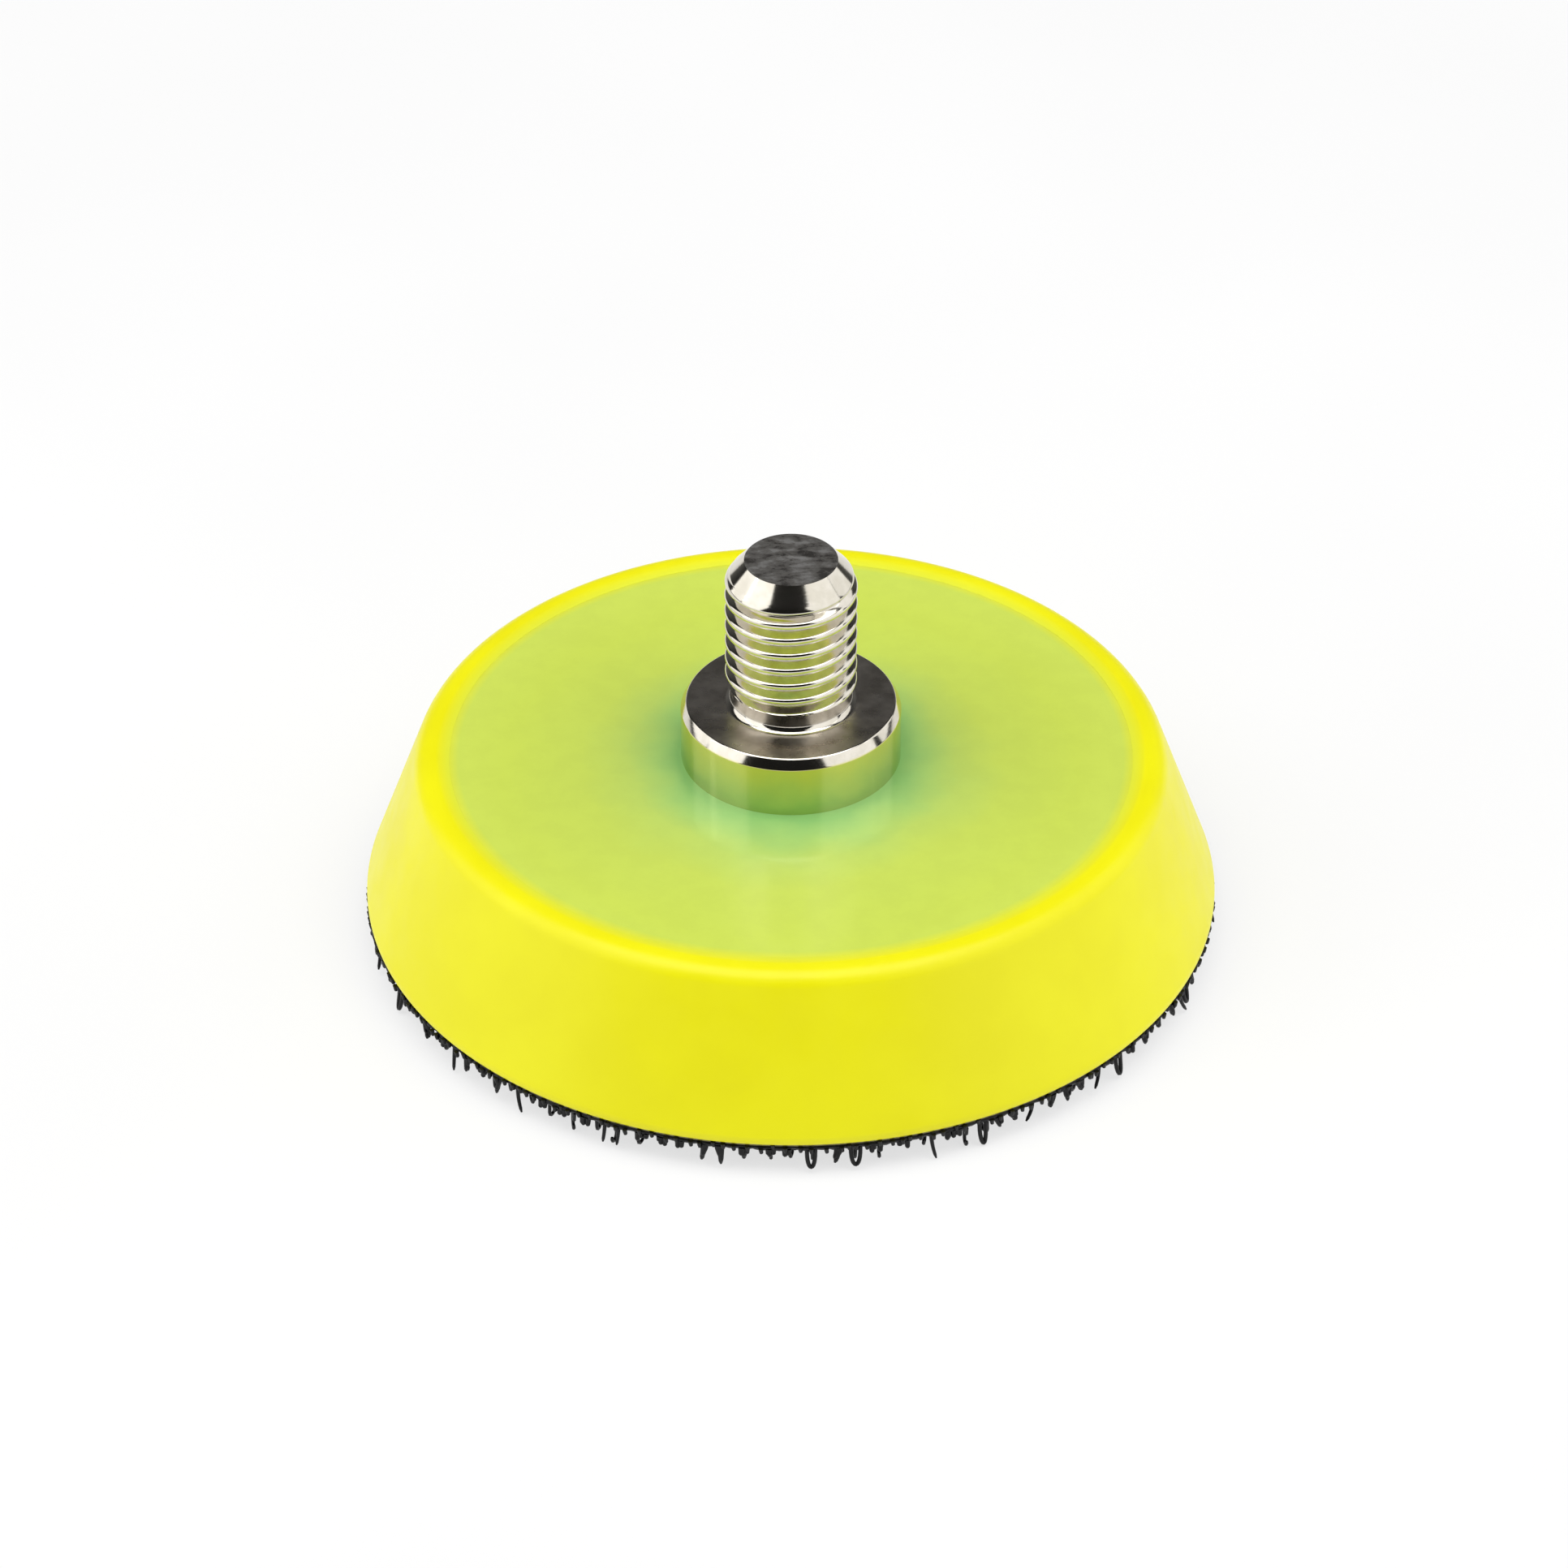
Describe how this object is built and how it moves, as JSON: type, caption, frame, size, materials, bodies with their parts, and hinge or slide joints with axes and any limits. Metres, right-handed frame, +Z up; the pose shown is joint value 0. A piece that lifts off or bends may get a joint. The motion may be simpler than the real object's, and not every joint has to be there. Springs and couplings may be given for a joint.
{
  "type": "hook-and-loop backing pad",
  "caption": "Round tapered backing pad with a threaded steel stud on a translucent plate and a black hook fastener underneath.",
  "frame": {"origin": "on the stud's axis, at the tips of the hooks (the bottom of the pad)", "axes": "+Z up the stud, away from the hook face; the pad is round about Z"},
  "size_m": [0.0508, 0.0508, 0.0251],
  "materials": {
    "nickel_plated_steel": "polished plating over turned steel",
    "glass_fibre_laminate": "glossy, translucent, faint weave",
    "zinc_plated_steel": "satin zinc plating",
    "polyurethane": "satin moulded skin",
    "adhesive": "clear amber film",
    "nylon_ground": "tight plain weave, resin coated",
    "nylon_hooks": "smooth monofilament"
  },
  "bodies": {
    "root": {"threaded_stud": "nickel_plated_steel", "stiffener_plate": "glass_fibre_laminate", "support_washer": "zinc_plated_steel", "pad_body": "polyurethane", "bond_film": "adhesive", "hook_tape": "nylon_ground", "hook_pile": "nylon_hooks"}
  },
  "joints": []
}
